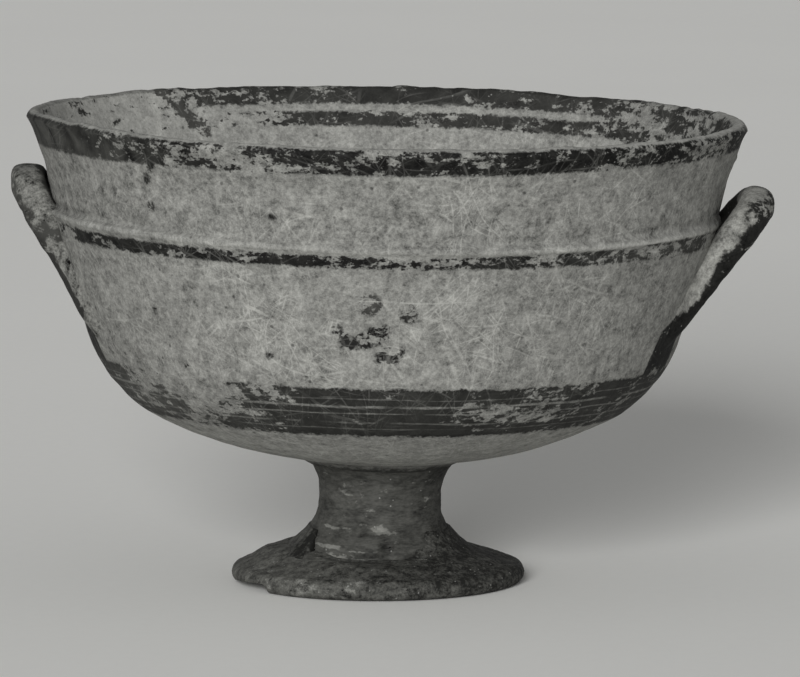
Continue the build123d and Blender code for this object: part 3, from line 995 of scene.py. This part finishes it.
def make_handle(name, handle, boxy, wall, seed, painted, material):
    """Adds a handle's bar and the luted clay round its two roots."""
    bar = handle[1]
    middle, out = handle_path(*handle)
    ahead = np.gradient(middle, axis=0)
    ahead /= np.linalg.norm(ahead, axis=1)[:, None]
    turn = np.arange(BAR_AROUND) / BAR_AROUND * 2 * np.pi
    across = np.cross(ahead, out)
    spoke = np.cos(turn)[:, None] * out + np.sin(turn)[:, None] * across[:, None, :]

    # The bar thins to half past its roots, and its crown is squared off
    from_end = np.minimum(np.arange(len(middle)), np.arange(len(middle))[::-1])
    thick = bar * (1 - 0.5 * np.clip(1 - from_end / REACH_RINGS, 0, 1) ** 1.5)
    crown = np.clip(1.25 - np.abs(middle[:, 1]) / CROWN_HALF, 0, 1)[:, None]
    squareness = 2 + boxy * crown
    square = (np.abs(spoke[..., 0]) ** squareness + np.abs(spoke[..., 2]) ** squareness) ** (-1 / squareness)
    square = 1 + crown * (np.clip(square, 1, 1.25) - 1)
    grid = middle[:, None] + spoke * (thick[:, None] * square)[..., None]

    # It is uneven, less so by the wall, and its skin goes no deeper into the wall than it may
    wobble = 0.3 * rough(grid, 9, seed, 2) + 0.12 * rough(grid, 3, seed + 5, 2)
    gap, away = wall_gap(grid, wall)
    wobble = wobble * np.clip((gap - 1) / 3, 0.25, 1)
    grid = grid + spoke * wobble[..., None]
    gap, away = wall_gap(grid, wall)
    grid = grid + away * np.clip(-BAR_SINK - gap, 0, None)[..., None]

    layers = painted(np.broadcast_to(np.cos(turn), gap.shape), grid, bar)
    layers["paint"] = layers["paint"] + 0.9 * rough(grid, 3.4, seed + 9, 2)
    points, faces = capped(grid)
    add_piece("Handle" + name, points, faces, layers, material, "handle_" + name.lower())

    # The clay round the roots flares out along the wall
    tangent = spoke - (spoke * away).sum(-1)[..., None] * away
    tangent /= np.linalg.norm(tangent, axis=-1)[..., None] + 1e-9
    fade = np.clip((HANDLE_LUTE_RINGS - from_end) / HANDLE_LUTE_FADE, 0, 1)[:, None]
    flare = HANDLE_LUTE_WIDTH * fade * np.clip(1 - gap / HANDLE_LUTE_RISE, 0, 1.3) ** 3
    fillet = grid + tangent * flare[..., None] - spoke * 0.03
    add_handle_lutes(name, fillet.reshape(-1, 3), gap, from_end, layers, material)


def add_handle_lutes(name, fillet, gap, from_end, layers, material):
    """Adds the clay round a handle's two roots, from the part of its fillet that lies by the wall."""
    quads = np.array(grid_faces(*gap.shape))
    corner_gaps = gap.ravel()[quads]
    low = (corner_gaps < 0.94 * HANDLE_LUTE_RISE).all(1) & (corner_gaps > -HANDLE_LUTE_DEPTH).any(1)
    ring = quads[:, 0] // BAR_AROUND
    low = low & (from_end[ring] < HANDLE_LUTE_RINGS)
    in_front = ring < len(gap) // 2
    for place, there in (("Front", in_front), ("Back", ~in_front)):
        used, local = np.unique(quads[low & there], return_inverse=True)
        faces = local.reshape(-1, 4).tolist()
        lute_layers = {key: np.ravel(values)[used] for key, values in layers.items()}
        piece_name = f"{name}Handle{place}Lute"
        node = f"{name.lower()}_handle_{place.lower()}_lute"
        lute = add_piece(piece_name, fillet[used], faces, lute_layers, material, node)
        solid = lute.modifiers.new("Thickness", "SOLIDIFY")
        solid.thickness, solid.offset = HANDLE_LUTE_THICKNESS_M, -1


def root_stripe(x, y, z):
    """Distance inside the wall's stripes at places on a handle's root."""
    return stripe_paint(np.degrees(np.arctan2(y, x)), z, np.hypot(x, y))


def right_paint(facing, points, bar):
    """Paint kept on the outer half of the near leg and the crown, and all round the far leg, whose paint is
    lifted lighter as painted light where it lies in shade.
    """
    x, y, z = np.moveaxis(points, -1, 0)
    far = part_way(y, -1, 15) * part_way(facing, 0.5, 0)
    crown = part_way(z, CROWN_LOW, CROWN_HIGH)
    root = part_way(z, *RIGHT_ROOT)
    outer = (facing - np.interp(z, *np.transpose(RIGHT_BARE))) * bar * (0.8 - 0.35 * crown)
    return {
        "paint": (1 - root) * outer + root * root_stripe(x, y, z) + 8 * far,
        "wear": 0.06 + 0.22 * crown - 0.12 * far,
        "pale": 0.3 - 0.25 * far - 0.4 * bell(z, 100, 3.5),
        # Far leg's paint lifted lighter: painted light where it lies in shade by the wall
        "paint_lightness": 0.6 * crown + 3 * far,
    }


def left_paint(facing, points, bar):
    """Paint kept on the outer and the inner side and in a stripe across, laid on thinly and mottled at the
    crown; the dark on the inner side by the wall and on the far leg is partly paint and partly painted shade.
    """
    x, y, z = np.moveaxis(points, -1, 0)
    far = part_way(y, 6, 14)
    crown = part_way(z, CROWN_LOW, CROWN_HIGH)
    low = part_way(z, 96, 80)
    root = part_way(z, *LEFT_ROOT)
    outer = (facing - 0.45 - 0.2 * low) * bar * (1.2 + 1.5 * low)
    # Inner side kept dark and unworn by the wall: partly paint, partly painted shade
    inner = (-facing - 0.82) * bar * 1.3 * crown - 3 * (1 - crown)
    crossing = 1.6 - 0.7 * np.abs(z - CROWN_LOW)
    paint = (1 - root) * np.maximum(outer, inner) + root * root_stripe(x, y, z)
    mottled = crown * (facing > -0.3)
    return {
        # Far leg dark all round: partly paint, partly painted shade
        "paint": np.maximum(paint, crossing) + 8 * far * (1 - root),
        "wear": 0.2 + 0.2 * mottled - 0.4 * (inner > 0),
        "pale": -0.25 - 0.1 * crown,
        "paint_lightness": 1.8 + 2.4 * mottled + 2.0 * bell(z, CROWN_LOW, 2.5),
    }


def make_floor():
    """Pale paper that the cup stands on, which also fills the background."""
    bpy.ops.mesh.primitive_plane_add(size=FLOOR_SIZE, location=FLOOR_PLACE)
    floor = bpy.context.object
    floor.name = "Floor"
    material = bpy.data.materials.new("Floor paper")
    n = Nodes(material)
    place = n.add("ShaderNodeTexCoord").outputs["Object"]
    tone = n.total(1.0, (0.05, n.noise(place, 0.25)), (0.03, n.noise(place, 0.004)))
    paper = n.add("ShaderNodeBsdfPrincipled", Base_Color=n.scaled(PAPER, tone), Roughness=0.95)
    n.feed(paper.inputs["Specular IOR Level"], 0.1)
    n.add("ShaderNodeOutputMaterial", Surface=paper.outputs[0])
    floor.data.materials.append(material)


def light_scene():
    """Low soft key from the front, a little to the left, and a surround that is dimmer overhead."""
    sun = bpy.data.lights.new("Key", "SUN")
    sun.energy = KEY_STRENGTH
    sun.angle = math.radians(KEY_WIDTH)
    key = bpy.data.objects.new("Key", sun)
    bpy.context.scene.collection.objects.link(key)
    key.rotation_euler = (math.radians(90 - KEY_HEIGHT), 0, math.radians(-KEY_TURN))
    world = bpy.data.worlds.new("Studio")
    bpy.context.scene.world = world
    n = Nodes(world)
    way = n.add("ShaderNodeTexCoord").outputs["Generated"]
    rise = n.add("ShaderNodeSeparateXYZ", Vector=way).outputs["Z"]
    level = n.times(n.ramp(rise, *SKY_RISE), SKY_CHANGE, SKY_LEVEL)
    n.add("ShaderNodeOutputWorld", Surface=n.add("ShaderNodeBackground", Strength=level).outputs[0])


def place_camera():
    """Camera at the photograph's viewing angle."""
    lens = bpy.data.cameras.new("Camera")
    lens.sensor_width, lens.lens, lens.clip_end = SENSOR, LENS, CLIP_END
    camera = bpy.data.objects.new("Camera", lens)
    bpy.context.scene.collection.objects.link(camera)
    camera.location = CAMERA_PLACE
    look_down = math.atan2(CAMERA_PLACE[2] - CAMERA_AIM_HEIGHT, -CAMERA_PLACE[1])
    camera.rotation_euler = (math.pi / 2 - look_down, 0, 0)
    bpy.context.scene.camera = camera


bowl_clay = clay_material("Bowl clay", BOWL_CLAY, BOWL_PAINT, lines=LOWER_BAND_GAPS)
foot_clay = clay_material("Foot clay", FOOT_CLAY, FOOT_PAINT, mottle=2.0, flecks=0.5)
stem_clay = clay_material("Stem clay", FOOT_CLAY, FOOT_PAINT, mottle=1.1, flecks=0.2, stretch=0.4)
handle_clay = clay_material("Handle clay", HANDLE_CLAY, BOWL_PAINT, mottle=1.2, flecks=0.08)
wall = make_bowl(bowl_clay)
make_stem(stem_clay)
make_foot(foot_clay)
make_stem_lute(bowl_clay)
make_foot_collar(foot_clay)
make_handle("Left", LEFT_HANDLE, LEFT_BOXY, wall, 131, left_paint, handle_clay)
make_handle("Right", RIGHT_HANDLE, RIGHT_BOXY, wall, 151, right_paint, handle_clay)
make_floor()
light_scene()
place_camera()
bpy.context.scene.view_settings.view_transform = "Standard"

bpy.context.view_layer.update()
